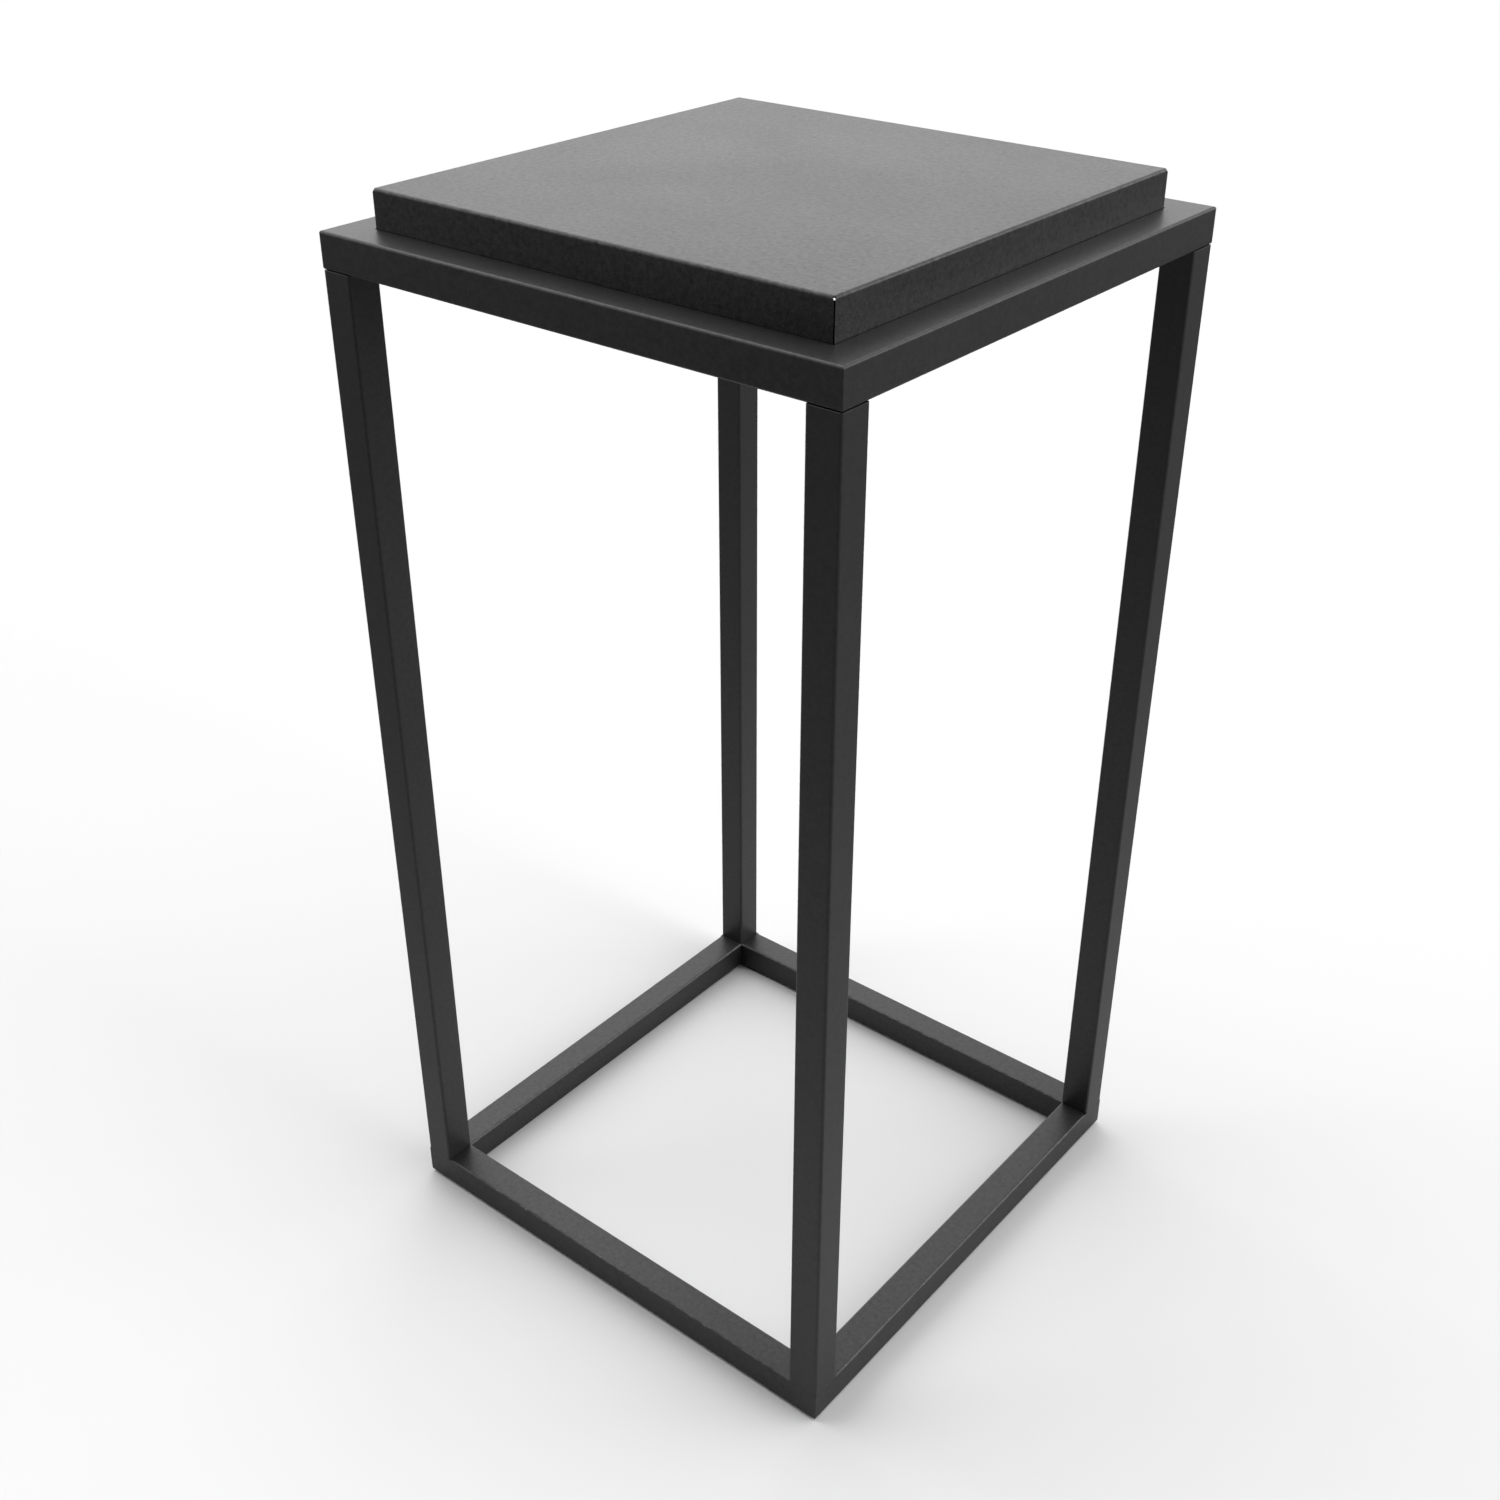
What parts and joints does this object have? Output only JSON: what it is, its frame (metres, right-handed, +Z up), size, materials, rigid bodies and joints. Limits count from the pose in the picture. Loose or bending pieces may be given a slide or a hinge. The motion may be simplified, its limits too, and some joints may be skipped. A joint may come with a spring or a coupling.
{
  "type": "display plinth",
  "caption": "Tall open frame of square steel tube carrying a square folded-sheet tray, which drops into its top ring and stands proud of it as a display surface.",
  "frame": {"origin": "centre of the footprint, on the floor plane under the glides", "axes": "+Z up, -Y the front, +X the right side"},
  "size_m": [0.5, 0.5, 1.003],
  "materials": {
    "tray_sheet": "satin black powder coat, very fine grain",
    "ring_tube": "satin black powder coat, smooth",
    "leg_tube": "satin black powder coat, smooth",
    "base_tube": "satin black powder coat, smooth, with small rough spots along the top outer edges",
    "inner_steel": "satin black powder coat, thinner over the welds",
    "pad_rubber": "matte black rubber",
    "glide_nylon": "matte black nylon"
  },
  "bodies": {
    "frame": {"base_rail_front": "base_tube", "base_rail_right": "base_tube", "base_rail_back": "base_tube", "base_rail_left": "base_tube", "ring_rail_front": "ring_tube", "ring_rail_right": "ring_tube", "ring_rail_back": "ring_tube", "ring_rail_left": "ring_tube", "leg_front_right": "leg_tube", "leg_back_right": "leg_tube", "leg_back_left": "leg_tube", "leg_front_left": "leg_tube", "leg_spigot_front_right": "inner_steel", "leg_spigot_back_right": "inner_steel", "leg_spigot_back_left": "inner_steel", "leg_spigot_front_left": "inner_steel", "corner_gusset_front_right": "inner_steel", "corner_gusset_back_right": "inner_steel", "corner_gusset_back_left": "inner_steel", "corner_gusset_front_left": "inner_steel", "tray_pad_front_right": "pad_rubber", "tray_pad_back_right": "pad_rubber", "tray_pad_back_left": "pad_rubber", "tray_pad_front_left": "pad_rubber", "floor_glide_front_right": "glide_nylon", "floor_glide_back_right": "glide_nylon", "floor_glide_back_left": "glide_nylon", "floor_glide_front_left": "glide_nylon"},
    "tray": {"top_tray": "tray_sheet"}
  },
  "joints": [
    {"name": "tray_lift", "type": "slide", "parent": "frame", "child": "tray", "axis": [0, 0, 1], "range_m": [0, 0.06]}
  ]
}
